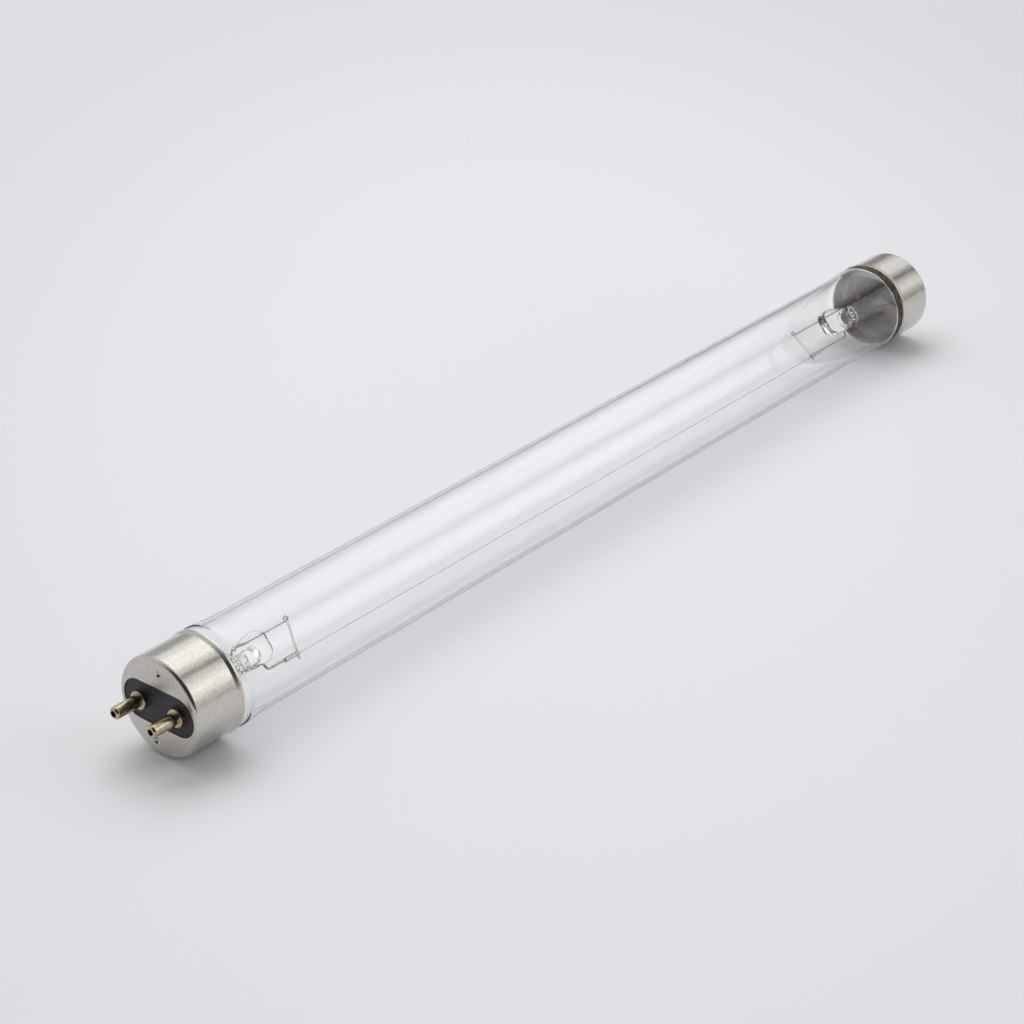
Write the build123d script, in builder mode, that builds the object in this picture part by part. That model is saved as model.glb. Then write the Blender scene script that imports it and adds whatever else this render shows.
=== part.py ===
"""Double-ended UV-C discharge lamp: a clear glass tube with a two-pin cap and a hot electrode at each end.

Millimetres. X runs along the lamp from the near end to the far end, +Z is up, and the origin is the
middle of the lamp on its axis. The pins of both caps lie in the horizontal XY plane.
Distances along the lamp are measured inwards from a cap's face. Each end is drawn at the near end, and
the far end's pieces are mirrored in the YZ plane.
"""

import os
from math import cos, radians, sin

from build123d import *

# Lamp as a whole
face_to_face = 331.5

# Glass tube
tube_od = 26.7
tube_wall = 0.8
tube_end_inset = 3.4
swell_height = 0.45
swell_peak = 3.4
swell_run = 10.5

# Cap shell, drawn from sheet
cap_od = 26.9
cap_sheet = 0.35
cap_length = 15.3
cap_corner = 1.1
lip_flare = 0.4
lip_slope = 1.0
lip_land = 0.5
slot_width = 10.9
slot_land = 0.35
slot_round = 0.2
stake_mouth = 1.07
stake_depth = 0.65
stake_height = 9.8
stake_shift = 1.2

# Cement between the cap and the tube
cement_gap = 0.6
cement_ring = 3.0
cement_meniscus = 1.0
tongue_count = 3
tongue_start = -24.0
tongue_arc = 12.0
tongue_reach = 11.3

# Insulator plate behind the slot
plate_thickness = 2.2
plate_clearance = 0.1

# Contact pins
pin_spacing = 12.7
pin_od = 3.3
pin_bore = 1.7
pin_reach = 8.6
pin_tip_share = 0.9
collar_od = 5.0
collar_height = 1.3
rivet_od = 4.6
rivet_height = 0.5
crimp_depth = 3.2
crimp_length = 1.5

# Stem: flare, neck, press and exhaust tube, one piece of glass
seal_inset = 0.6
stem_od = 6.3
stem_wall = 0.9
neck_start = 20.0
neck_end = 25.0
neck_taper = 5.5
press_angle = 49.7
press_thickness = 3.2
press_corner = 0.9
press_round = 0.75
press_crown = 5.25
press_crown_back = 4.4
press_end_top = 3.2
press_end_low = -1.6
press_low = -3.4
press_slant = 2.6
exhaust_od = 2.4
exhaust_bore = 1.4
exhaust_tip_gap = 0.6
vent_diameter = 4.4
vent_from_neck = 5.7
vent_offset = -0.15

# Lead wires, in the plane of the press
outer_lead_diameter = 0.5
seal_wire_diameter = 0.5
upper_wire_diameter = 0.35
lower_wire_diameter = 0.65
lead_bend = 2.0
lead_drop = 5.0
neck_entry = 12.5
neck_lead_offset = 1.6
upper_offset = 3.3
lower_offset = 5.05
upper_seal_start = 3.4
upper_seal_length = 3.0
lower_seal_start = 2.6
lower_seal_length = 2.6
lower_seal_offset = 1.95
lower_joint_offset = 2.8
lower_exit_length = 7.9
lower_exit_offset = 2.95
lower_bow_length = 0.4
lower_bend = 0.9
hook_radius = 0.6
hook_turn = 290.0

# Filament and its clamp
filament_wire = 0.28
filament_turns = 11
filament_slack = 0.03
filament_leg = 0.3
filament_leg_wire = 0.2
filament_lean = 1.9
filament_set = 0.2
filament_tail = 2.3
clamp_length = 4.8
clamp_width = 1.25
clamp_thickness = 1.05
clamp_round = 0.3
clamp_drop = 0.15
ear_length = 1.3
ear_width = 0.55
ear_thickness = 0.3
ear_tilt = 20.0

# Starting wire between the two lower clamps
starter_diameter = 0.2
starter_offset = 5.38

# How far each end's press and leads reach, from that end's cap face
near_press_end = 37.7
near_lead_end = 44.3
far_press_end = 41.0
far_lead_end = 53.8

# Worked-out sizes
half_length = face_to_face / 2
tube_r = tube_od / 2
cap_r = cap_od / 2
lip_r = cap_r + lip_flare
cap_bore_r = cap_r - cap_sheet
tube_neck_r = cap_bore_r - cement_gap
rim_r = tube_neck_r - tube_wall
plate_front = cap_sheet
plate_back = plate_front + plate_thickness
pin_back = plate_back + rivet_height
pin_tip_round = pin_tip_share * (pin_od - pin_bore) / 2
collar_round = (collar_od - pin_od) / 4
slot_length = cap_od - 2 * (cap_corner + slot_land)
stem_r = stem_od / 2
exhaust_tip = pin_back + exhaust_tip_gap
vent_at = neck_end + vent_from_neck
coil_r = (upper_wire_diameter + filament_wire) / 2 + filament_slack

# Half section of the lamp, along the axis and outwards, from the near cap's face
section = Plane(origin=(-half_length, 0, 0))

# The plane of the press and both leads: along the axis, and across it towards the upper lead
across = Vector(0, cos(radians(press_angle)), sin(radians(press_angle)))
mount = Plane(origin=(-half_length, 0, 0), x_dir=(1, 0, 0), z_dir=Vector(1, 0, 0).cross(across))


def point(along, offset):
    """A point of the mount plane, as a point of the lamp."""
    return Vector(along - half_length, 0, 0) + across * offset


def round_wire(path, diameter):
    """Adds a round wire along a path to the part being built."""
    with BuildSketch(Plane(origin=path @ 0, z_dir=path % 0)) as round_section:
        Circle(diameter / 2)
    sweep(round_section.sketch, path=path)


# Glass tube, with narrowed ends under the caps and a slight swelling past each rim
def tube_wall_line(radius, neck_radius):
    """One side of the tube's wall, from its end to the middle of the lamp."""
    neck = Line((tube_end_inset, neck_radius), (cap_length + lip_land, neck_radius))
    peak = (cap_length + swell_peak, radius + swell_height)
    shoulder = (cap_length + swell_run, radius)
    rise = Spline(neck @ 1, peak, tangents=((1, 0), (1, 0)))
    fall = Spline(rise @ 1, shoulder, tangents=((1, 0), (1, 0)))
    Line(fall @ 1, (half_length, radius))


with BuildPart() as glass_tube:
    with BuildSketch(section):
        with BuildLine():
            tube_wall_line(tube_r, tube_neck_r)
            tube_wall_line(tube_r - tube_wall, rim_r)
            Line((tube_end_inset, tube_neck_r), (tube_end_inset, rim_r))
            Line((half_length, tube_r), (half_length, tube_r - tube_wall))
        make_face()
    revolve(axis=Axis.X)
    mirror(about=Plane.YZ)


# Cap shell: a drawn cup with a flared rim, a slot for the pins and two staking dimples
stake_places = [(-stake_shift, stake_height), (stake_shift, -stake_height)]
stake_back = stake_mouth + cap_sheet


def dish_radius(mouth, depth):
    """Radius of a round dish of a given mouth radius and depth."""
    return (mouth**2 + depth**2) / (2 * depth)


with BuildPart() as cap_shell:
    with BuildSketch(section):
        with BuildLine():
            FilletPolyline(
                (0, 0),
                (0, cap_r),
                (cap_length - lip_land - lip_slope, cap_r),
                (cap_length - lip_land, lip_r),
                (cap_length, lip_r),
                radius=[cap_corner, 2 * lip_flare, lip_flare],
            )
            offset(amount=cap_sheet, side=Side.RIGHT)
        make_face()
    revolve(axis=Axis.X)
    with BuildSketch(Plane.YZ.offset(-half_length)):
        SlotOverall(slot_length, slot_width)
    extrude(amount=cap_corner, mode=Mode.SUBTRACT)
    slot_edges = cap_shell.edges().group_by(Axis.X)[0].sort_by(SortBy.LENGTH)[:-1]
    fillet(slot_edges, slot_round)
    for place in stake_places:
        stake = Axis((-half_length, *place), (1, 0, 0))
        with BuildSketch(Plane(origin=stake.position)):
            with BuildLine():
                back = RadiusArc(
                    (cap_sheet, stake_back),
                    (cap_sheet + stake_depth, 0),
                    dish_radius(stake_back, stake_depth),
                )
                Polyline(back @ 1, (cap_sheet / 2, 0), (cap_sheet / 2, stake_back), back @ 0)
            make_face()
        revolve(axis=stake)
        with BuildSketch(Plane(origin=stake.position)):
            with BuildLine():
                dish = RadiusArc((0, stake_mouth), (stake_depth, 0), dish_radius(stake_mouth, stake_depth))
                Polyline(dish @ 1, (-cap_sheet, 0), (-cap_sheet, stake_mouth), dish @ 0)
            make_face()
        revolve(axis=stake, mode=Mode.SUBTRACT)


# Cement: a ring at the rim that ends in a meniscus, and tongues where it was squeezed along the neck
with BuildPart() as basing_cement:
    with BuildSketch(section):
        with BuildLine():
            Polyline(
                (cap_length - cement_ring, tube_neck_r - tube_wall / 2),
                (cap_length - cement_ring, cap_r - cap_sheet / 2),
                (cap_length - lip_land - lip_slope, cap_r - cap_sheet / 2),
                (cap_length - lip_land, lip_r - cap_sheet / 2),
                (cap_length, lip_r - cap_sheet),
                (cap_length + cement_meniscus, tube_neck_r),
                (cap_length + lip_land, tube_neck_r - tube_wall / 2),
                close=True,
            )
        make_face()
    revolve(axis=Axis.X)
    for k in range(tongue_count):
        with BuildSketch(section.rotated((tongue_start + k * 360 / tongue_count, 0, 0))):
            with Locations((cap_length - tongue_reach, tube_neck_r)):
                Rectangle(tongue_reach - cement_ring / 2, cement_gap, align=Align.MIN)
        revolve(axis=Axis.X, revolution_arc=tongue_arc)
    add(cap_shell.part, mode=Mode.SUBTRACT)
    add(glass_tube.part, mode=Mode.SUBTRACT)


# Insulator plate: a round laminate with two flats, held between the staking dimples
plate_r = cap_r - cap_corner - plate_clearance
plate_flat = stake_height - stake_back - plate_clearance

with BuildPart() as insulator_plate:
    with BuildSketch(Plane.YZ.offset(plate_front - half_length)):
        Circle(plate_r)
        Rectangle(2 * plate_r, 2 * plate_flat, mode=Mode.INTERSECT)
        with GridLocations(pin_spacing, 0, 2, 1):
            Circle(pin_od / 2, mode=Mode.SUBTRACT)
    extrude(amount=plate_thickness)


# Contact pin: turned, hollow, with a collar on the plate and a rivet head behind it
def contact_pin(side):
    """The pin at +Y (side 1) or -Y (side -1)."""
    axis = Axis((-half_length, side * pin_spacing / 2, 0), (1, 0, 0))
    with BuildPart() as pin:
        with BuildSketch(Plane(origin=axis.position)):
            with BuildLine():
                Polyline(
                    (pin_back, pin_bore / 2),
                    (pin_back, rivet_od / 2),
                    (plate_back, rivet_od / 2),
                    (plate_back, pin_od / 2),
                    (plate_front, pin_od / 2),
                    (plate_front, collar_od / 2),
                    (plate_front - collar_height, collar_od / 2),
                    (plate_front - collar_height, pin_od / 2),
                    (-pin_reach, pin_od / 2),
                    (-pin_reach, pin_bore / 2),
                    (crimp_depth - pin_reach, pin_bore / 2),
                    (crimp_depth - pin_reach, outer_lead_diameter / 2),
                    (crimp_depth + crimp_length - pin_reach, outer_lead_diameter / 2),
                    (crimp_depth + crimp_length - pin_reach, pin_bore / 2),
                    close=True,
                )
            make_face()
        revolve(axis=axis)
        tip = pin.edges().filter_by(GeomType.CIRCLE).group_by(Axis.X)[0].sort_by(SortBy.RADIUS)[-1]
        fillet(tip, pin_tip_round)
        collar = pin.edges().filter_by(GeomType.CIRCLE).group_by(SortBy.RADIUS)[-1].sort_by(Axis.X)[0]
        fillet(collar, collar_round)
    return pin


# Where each seal wire starts and ends in the mount plane
upper_seal = [
    (neck_end + upper_seal_start, upper_offset),
    (neck_end + upper_seal_start + upper_seal_length, upper_offset),
]
lower_seal = [
    (neck_end + lower_seal_start, -lower_seal_offset),
    (neck_end + lower_seal_start + lower_seal_length, -lower_joint_offset),
]


# Seal wire: the short straight length that the press is melted onto
def seal_wire(start, end):
    """From an outer lead to a support wire."""
    with BuildPart() as wire:
        with BuildLine(mount) as route:
            Line(start, end)
        round_wire(route.wire(), seal_wire_diameter)
    return wire


# Outer lead: from the crimp in a pin, through the cap and the neck of the stem, to a seal wire
def outer_lead(side, seal_start, seal):
    """The copper lead of the +Y pin (side 1) or the -Y pin (side -1), butted to its seal wire."""
    pin_y = side * pin_spacing / 2
    with BuildPart() as lead:
        with BuildLine() as route:
            FilletPolyline(
                Vector(crimp_depth - pin_reach - half_length, pin_y, 0),
                Vector(lead_drop - half_length, pin_y, 0),
                point(neck_entry, side * neck_lead_offset),
                point(neck_end, side * neck_lead_offset),
                point(*seal_start),
                radius=lead_bend,
            )
        round_wire(route.wire(), outer_lead_diameter)
        add(seal.part, mode=Mode.SUBTRACT)
    return lead


# Support wires: the stiff wires inside the tube that carry the filament
def hook_foot(lead_end):
    """Where the upper wire starts to curl."""
    return lead_end + filament_lean


def upper_support_wire(lead_end):
    """A straight wire that ends in an open eye."""
    with BuildPart() as wire:
        with BuildLine(mount) as route:
            Line(upper_seal[1], (hook_foot(lead_end), upper_offset))
            CenterArc(
                (hook_foot(lead_end), upper_offset + hook_radius),
                hook_radius,
                -90,
                hook_turn,
            )
        round_wire(route.wire(), upper_wire_diameter)
    return wire


def lower_support_wire(lead_end, seal):
    """A thicker wire, butted to its seal wire, that leaves the press's side and bows down to the clamp."""
    exit_at = neck_end + lower_exit_length
    with BuildPart() as wire:
        with BuildLine(mount) as route:
            FilletPolyline(
                lower_seal[1],
                (exit_at, -lower_exit_offset),
                (exit_at + lower_bow_length, -lower_offset),
                (lead_end, -lower_offset),
                radius=lower_bend,
            )
        round_wire(route.wire(), lower_wire_diameter)
        add(seal.part, mode=Mode.SUBTRACT)
    return wire


# Stem: flared skirt sealed to the tube, hollow neck, flat press and sealed exhaust tube
def glass_stem(press_end, wires):
    """The stem of one end, with a hole for each wire that passes through its glass."""
    rim_front = tube_end_inset + seal_inset + stem_wall
    with BuildPart() as stem:
        with BuildSketch(mount) as press:
            with BuildLine():
                crown = ThreePointArc(
                    (neck_end, stem_r - press_corner),
                    (press_end - press_crown_back, press_crown),
                    (press_end, press_end_top),
                )
                Polyline(
                    crown @ 1,
                    (press_end, press_end_low),
                    (press_end - press_slant, press_low),
                    (neck_end + neck_taper / 2, press_low),
                    (neck_end, press_corner - stem_r),
                    crown @ 0,
                )
            make_face()
            fillet(press.vertices(), press_corner)
        extrude(amount=press_thickness / 2, both=True)
        fillet(stem.faces().filter_by(mount).edges(), press_round)
        with BuildSketch(section):
            with BuildLine():
                EllipticalCenterArc(
                    (neck_start, rim_r),
                    neck_start - rim_front,
                    rim_r - stem_r,
                    start_angle=180,
                    arc_size=90,
                )
                EllipticalCenterArc(
                    (neck_start, rim_r),
                    neck_start - rim_front + stem_wall,
                    rim_r - stem_r + stem_wall,
                    start_angle=180,
                    arc_size=90,
                )
                Line((rim_front, rim_r), (rim_front - stem_wall, rim_r))
                Polyline(
                    (neck_start, stem_r),
                    (neck_end, stem_r),
                    (neck_end + neck_taper, press_thickness / 2),
                    (neck_end + neck_taper, 0),
                    (neck_end, 0),
                    (neck_end, stem_r - stem_wall),
                    (neck_start, stem_r - stem_wall),
                )
            make_face()
        revolve(axis=Axis.X)
        with BuildSketch(section):
            with BuildLine():
                Polyline(
                    (exhaust_tip, 0),
                    (neck_end, 0),
                    (neck_end, exhaust_od / 2),
                    (exhaust_tip + exhaust_od / 2, exhaust_od / 2),
                    close=True,
                )
            make_face()
        revolve(axis=Axis.X)
        with BuildSketch(Plane.YZ.offset(exhaust_tip + exhaust_od / 2 - half_length)):
            Circle(exhaust_bore / 2)
        extrude(amount=vent_at - exhaust_tip - exhaust_od / 2, mode=Mode.SUBTRACT)
        with BuildSketch(mount):
            with Locations((vent_at, vent_offset)):
                Circle(vent_diameter / 2)
        extrude(amount=press_thickness, both=True, mode=Mode.SUBTRACT)
        for wire in wires:
            add(wire.part, mode=Mode.SUBTRACT)
    return stem


# Filament: a coil between the eye of the upper wire and the clamp, with a straight leg at each end
def filament(lead_end):
    """The coil leans across the mount plane; its legs run beside the eye and into the clamp."""
    top = point(hook_foot(lead_end), upper_offset - filament_leg)
    bottom = point(lead_end - filament_set, lower_wire_diameter / 2 + filament_leg - lower_offset)
    lean = bottom - top
    beside = mount.z_dir * coil_r
    coil_frame = Plane(origin=top, x_dir=mount.z_dir, z_dir=lean)
    turns = coil_frame.location * Edge.make_helix(lean.length / filament_turns, lean.length, coil_r)
    with BuildPart() as coil:
        round_wire(turns, filament_wire)
        with BuildLine() as upper_leg:
            FilletPolyline(
                top + beside,
                point(hook_foot(lead_end) + filament_leg / 2, upper_offset + hook_radius) + beside,
                point(hook_foot(lead_end) + filament_tail, upper_offset + hook_radius) + beside,
                radius=filament_leg / 2,
            )
        round_wire(upper_leg.wire(), filament_leg_wire)
        with BuildLine() as lower_leg:
            down = lean.normalized()
            Line(bottom + beside - down * filament_wire / 2, bottom + beside + down * filament_leg)
        round_wire(lower_leg.wire(), filament_leg_wire)
    return coil


# Clamp: a folded nickel tab that grips the lower wire and the filament's lower leg
def filament_clamp(lead_end, gripped):
    """The folded tab with its cut ear, and a hole for each piece that it grips."""
    with BuildPart() as clamp:
        with BuildSketch(mount):
            with Locations((lead_end - clamp_length / 2, -lower_offset - clamp_drop)):
                Rectangle(clamp_length, clamp_width)
        extrude(amount=clamp_thickness / 2, both=True)
        fillet(clamp.edges().filter_by(Axis.X), clamp_round)
        with BuildSketch(mount):
            ear_root = -lower_offset - clamp_drop - clamp_width / 2
            with Locations((lead_end - ear_width, ear_root - ear_length / 4)):
                Rectangle(ear_width, ear_length, rotation=ear_tilt)
        extrude(amount=ear_thickness / 2, both=True)
        for piece in gripped:
            add(piece.part, mode=Mode.SUBTRACT)
    return clamp


def end_pieces(press_end, lead_end):
    """Every piece of one end of the lamp, drawn at the near end, by name."""
    upper = seal_wire(*upper_seal)
    lower = seal_wire(*lower_seal)
    leads = {
        "upper_outer_lead": outer_lead(1, upper_seal[0], upper),
        "lower_outer_lead": outer_lead(-1, lower_seal[0], lower),
        "upper_seal_wire": upper,
        "lower_seal_wire": lower,
        "upper_support_wire": upper_support_wire(lead_end),
        "lower_support_wire": lower_support_wire(lead_end, lower),
    }
    coil = filament(lead_end)
    return {
        "cap_shell": cap_shell,
        "basing_cement": basing_cement,
        "insulator_plate": insulator_plate,
        "left_pin": contact_pin(1),
        "right_pin": contact_pin(-1),
        "glass_stem": glass_stem(press_end, leads.values()),
        **leads,
        "filament": coil,
        "filament_clamp": filament_clamp(lead_end, [leads["lower_support_wire"], coil]),
    }


# Starting wire: one straight length from the near clamp to the far clamp
with BuildPart() as starting_wire:
    with BuildSketch(Plane.YZ.offset(near_lead_end - half_length)):
        with Locations((across.Y * -starter_offset, across.Z * -starter_offset)):
            Circle(starter_diameter / 2)
    extrude(amount=face_to_face - near_lead_end - far_lead_end)


def write(piece, name):
    """Labels a finished piece and writes its file."""
    piece.part.label = name
    export_step(piece.part, f"parts/{name}.step")


os.makedirs("parts", exist_ok=True)
write(glass_tube, "glass_tube")
write(starting_wire, "starting_wire")

for name, piece in end_pieces(near_press_end, near_lead_end).items():
    write(piece, f"near_{name}")

for name, piece in end_pieces(far_press_end, far_lead_end).items():
    with BuildPart() as far_piece:
        mirror(piece.part, about=Plane.YZ)
    write(far_piece, f"far_{name}")
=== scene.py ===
"""Looks of a double-ended UV-C bulb: clear tube, satin caps, brass pins and the wire electrodes.

Metres. X runs along the lamp from the near cap to the far cap and +Z is up, as in the frame.
Each end is drawn once in millimetres from its cap's face, and then set in place.
"""

from math import cos, pi, radians, sin

import bmesh
import bpy
from mathutils import Matrix, Vector


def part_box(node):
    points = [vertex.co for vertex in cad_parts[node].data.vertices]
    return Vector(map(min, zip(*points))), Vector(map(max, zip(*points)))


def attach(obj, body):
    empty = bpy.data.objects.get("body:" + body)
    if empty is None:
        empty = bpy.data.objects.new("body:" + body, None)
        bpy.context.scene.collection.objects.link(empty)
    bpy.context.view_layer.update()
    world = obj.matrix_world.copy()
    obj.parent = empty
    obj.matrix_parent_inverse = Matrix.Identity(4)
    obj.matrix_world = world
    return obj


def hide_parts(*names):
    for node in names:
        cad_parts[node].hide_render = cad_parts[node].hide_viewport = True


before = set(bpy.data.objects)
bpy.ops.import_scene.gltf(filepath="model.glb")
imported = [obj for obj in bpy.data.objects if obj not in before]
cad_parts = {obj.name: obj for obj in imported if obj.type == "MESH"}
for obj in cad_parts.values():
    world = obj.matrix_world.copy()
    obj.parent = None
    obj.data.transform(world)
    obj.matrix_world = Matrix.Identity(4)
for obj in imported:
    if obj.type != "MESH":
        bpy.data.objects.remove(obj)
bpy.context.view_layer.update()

MM = 0.001

# Places read from the frame, in millimetres
FACE_TO_FACE = (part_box("far_cap_shell")[1].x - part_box("near_cap_shell")[0].x) / MM
HALF_LENGTH = FACE_TO_FACE / 2
TUBE_END_INSET = (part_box("glass_tube")[0].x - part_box("near_cap_shell")[0].x) / MM
CAP_LENGTH = (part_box("near_cap_shell")[1].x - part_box("near_cap_shell")[0].x) / MM
LIP_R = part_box("near_cap_shell")[1].z / MM
PLATE_BACK = (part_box("near_insulator_plate")[1].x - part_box("near_cap_shell")[0].x) / MM
NEAR_LEAD_END = (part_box("starting_wire")[0].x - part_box("near_cap_shell")[0].x) / MM
FAR_LEAD_END = (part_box("far_cap_shell")[1].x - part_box("starting_wire")[1].x) / MM
NEAR_PRESS_END = (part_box("near_glass_stem")[1].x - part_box("near_cap_shell")[0].x) / MM
FAR_PRESS_END = (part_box("far_cap_shell")[1].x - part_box("far_glass_stem")[0].x) / MM

# Tube, in millimetres
TUBE_R = 13.35
TUBE_WALL = 0.8
SWELL_HEIGHT = 0.45
SWELL_PEAK = 3.4
SWELL_RUN = 10.5
LIP_LAND = 0.5
CAP_BORE_R = 13.1
CAP_SHEET = 0.35
CEMENT_GAP = 0.6
NECK_R = CAP_BORE_R - CEMENT_GAP
RIM_R = NECK_R - TUBE_WALL

# Stem and its press
SEAL_INSET = 0.6
STEM_R = 3.15
STEM_WALL = 0.9
NECK_START = 20.0
NECK_END = 25.0
NECK_TAPER = 5.5
PRESS_ANGLE = radians(49.7)
PRESS_THICKNESS = 3.2
PRESS_CORNER = 0.9
PRESS_ROUND = 1.25
FUNNEL = 1.3
PRESS_CROWN = 5.25
PRESS_CROWN_BACK = 4.4
PRESS_END_TOP = 3.2
PRESS_END_LOW = -1.6
PRESS_LOW = -3.4
PRESS_SLANT = 2.6
EXHAUST_R = 1.2
EXHAUST_BORE_R = 0.7
EXHAUST_TIP = 3.65
VENT_R = 2.2
VENT_AT = 30.7
VENT_OFFSET = -0.15

# Leads
PIN_OFFSET = 6.35
PIN_BORE_R = 0.85
PIN_CRIMP = 5.4
LEAD_BEND = 2.0
LEAD_DROP = 5.0
NECK_ENTRY = 12.5
NECK_LEAD_OFFSET = 1.6
UPPER_OFFSET = 3.3
LOWER_OFFSET = 5.05
UPPER_SEAL_START = 3.4
UPPER_SEAL_LENGTH = 3.0
LOWER_SEAL_START = 2.6
LOWER_SEAL_LENGTH = 2.6
LOWER_SEAL_OFFSET = 1.95
LOWER_JOINT_OFFSET = 2.8
LOWER_EXIT = 7.9
LOWER_EXIT_OFFSET = 2.95
LOWER_BOW = 0.4
LOWER_BEND = 0.9
HOOK_R = 0.6
HOOK_TURN = radians(290)
OUTER_LEAD_D = 0.5
SEAL_WIRE_D = 0.5
UPPER_WIRE_D = 0.35
LOWER_WIRE_D = 0.65
STARTER_D = 0.2
STARTER_OFFSET = 5.38

# Filament
COIL_TURNS = 11
COIL_R = 0.345
STRAND_D = 0.28
FINE_WIRE_D = 0.08
FINE_TURNS = 240
LEG = 0.3
LEG_D = 0.2
FILAMENT_LEAN = 1.9
FILAMENT_SET = 0.2
FILAMENT_TAIL = 2.3

# Fineness of the meshes
TUBE_SEGMENTS = 192
FLARE_SEGMENTS = 96
EXHAUST_SEGMENTS = 40
BORE_SEGMENTS = 32
VENT_SEGMENTS = 40
SWELL_STEPS = 10
CROWN_STEPS = 12
FLARE_STEPS = 12
HOOK_STEPS = 28
BEND_STEPS = 10
WIRE_SIDES = 14
LEG_SIDES = 10
COIL_STEPS = 32
FINE_STEPS = 10
FINE_WIRE_SIDES = 6
ROUNDING_STEPS = 6
ROUNDING_FROM = radians(50)
MELT_VOXEL = 0.18
MELT_PASSES = 22
MELT_SHARE = 0.5
CREASE = radians(40)
END_FACING = 0.99999
SAME_POINT_MM = 1e-5
SAME_POINT_M = 1e-7


# Helpers for placing and keeping pieces

def mount_point(along, offset, beside=0.0):
    """A point of the plane of the press and the leads, in millimetres from the cap's face."""
    return Vector((
        along,
        offset * cos(PRESS_ANGLE) + beside * sin(PRESS_ANGLE),
        offset * sin(PRESS_ANGLE) - beside * cos(PRESS_ANGLE),
    ))


def set_at_end(mesh, end):
    """Sets a mesh, drawn in millimetres from a cap's face, at the near or the far end in metres."""
    mesh.transform(Matrix.Translation((-HALF_LENGTH, 0, 0)))
    if end == "far":
        mesh.transform(Matrix.Scale(-1, 4, Vector((1, 0, 0))))
        mesh.flip_normals()
    mesh.transform(Matrix.Scale(MM, 4))
    return mesh


def keep(name, mesh, material, node):
    """Makes the finished piece that stands for a node of the frame."""
    mesh.name = name
    mesh.materials.clear()
    mesh.materials.append(material)
    piece = bpy.data.objects.new(name, mesh)
    bpy.context.scene.collection.objects.link(piece)
    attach(piece, "root")
    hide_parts(node)
    return piece


def mesh_from(bm, name):
    """Turns a bmesh into a smooth mesh with its faces outwards."""
    bmesh.ops.remove_doubles(bm, verts=bm.verts, dist=SAME_POINT_MM)
    bmesh.ops.recalc_face_normals(bm, faces=bm.faces)
    mesh = bpy.data.meshes.new(name)
    bm.to_mesh(mesh)
    bm.free()
    mesh.polygons.foreach_set("use_smooth", [True] * len(mesh.polygons))
    return mesh


def baked(obj):
    """The evaluated mesh of an object with live modifiers; the object itself is removed."""
    bpy.context.view_layer.update()
    depsgraph = bpy.context.evaluated_depsgraph_get()
    mesh = bpy.data.meshes.new_from_object(obj.evaluated_get(depsgraph))
    bpy.data.objects.remove(obj)
    return mesh


def scratch_object(name, data):
    """An object that only lives while a piece is made."""
    obj = bpy.data.objects.new(name, data)
    bpy.context.scene.collection.objects.link(obj)
    return obj


def smooth_copy(node):
    """A merged copy of a node's mesh, shaded smooth up to the crease, with its end faces flat."""
    bm = bmesh.new()
    bm.from_mesh(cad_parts[node].data)
    bmesh.ops.remove_doubles(bm, verts=bm.verts, dist=SAME_POINT_M)
    bm.verts.index_update()
    mesh = bpy.data.meshes.new(node)
    mesh.from_pydata([v.co for v in bm.verts], [], [[v.index for v in f.verts] for f in bm.faces])
    bm.free()
    mesh.polygons.foreach_set("use_smooth", [True] * len(mesh.polygons))
    mesh.set_sharp_from_angle(angle=CREASE)
    flats = {}
    for face in mesh.polygons:
        if abs(face.normal.x) > END_FACING:
            for k in face.vertices:
                flats.setdefault(k, []).append(face.normal.copy())
    normals = [corner.vector.copy() for corner in mesh.corner_normals]
    for face in mesh.polygons:
        for loop in face.loop_indices:
            for flat in flats.get(mesh.loops[loop].vertex_index, []):
                if face.normal.angle(flat) < CREASE:
                    normals[loop] = flat
    mesh.normals_split_custom_set(normals)
    return mesh


def turned(name, outline, segments, closed=True):
    """A mesh turned about X from a half section of (along, radius) points."""
    bm = bmesh.new()
    turns = [2 * pi * k / segments for k in range(segments)]
    rings = []
    for along, radius in outline:
        if radius == 0:
            rings.append([bm.verts.new((along, 0, 0))])
            continue
        rings.append([
            bm.verts.new((along, radius * cos(turn), radius * sin(turn)))
            for turn in turns
        ])
    pairs = list(zip(rings, rings[1:]))
    if closed:
        pairs.append((rings[-1], rings[0]))
    for first, second in pairs:
        for k in range(segments):
            corners = [
                first[k % len(first)],
                first[(k + 1) % len(first)],
                second[(k + 1) % len(second)],
                second[k % len(second)],
            ]
            distinct = list(dict.fromkeys(corners))
            if len(distinct) > 2:
                bm.faces.new(distinct)
    return mesh_from(bm, name)


# Node trees

class Tree:
    """Short names for adding and linking nodes in one tree."""

    def __init__(self, tree):
        self.tree = tree

    def add(self, kind, **values):
        """A new node: a name that starts with in_ sets an input, and any other a property."""
        made = self.tree.nodes.new(kind)
        for key, value in values.items():
            if key.startswith("in_"):
                label = key[3:].replace("_", " ")
                socket = made.inputs[int(label) if label.isdigit() else label]
                socket.default_value = value
            else:
                setattr(made, key, value)
        return made

    def ease(self, low, high, start=0.0, end=1.0):
        """A smooth step from start to end, while its value goes from low to high."""
        return self.add(
            "ShaderNodeMapRange", interpolation_type="SMOOTHSTEP",
            in_From_Min=low, in_From_Max=high, in_To_Min=start, in_To_Max=end,
        )

    def link(self, source, target):
        """Joins an output to an input."""
        self.tree.links.new(source, target)


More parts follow.
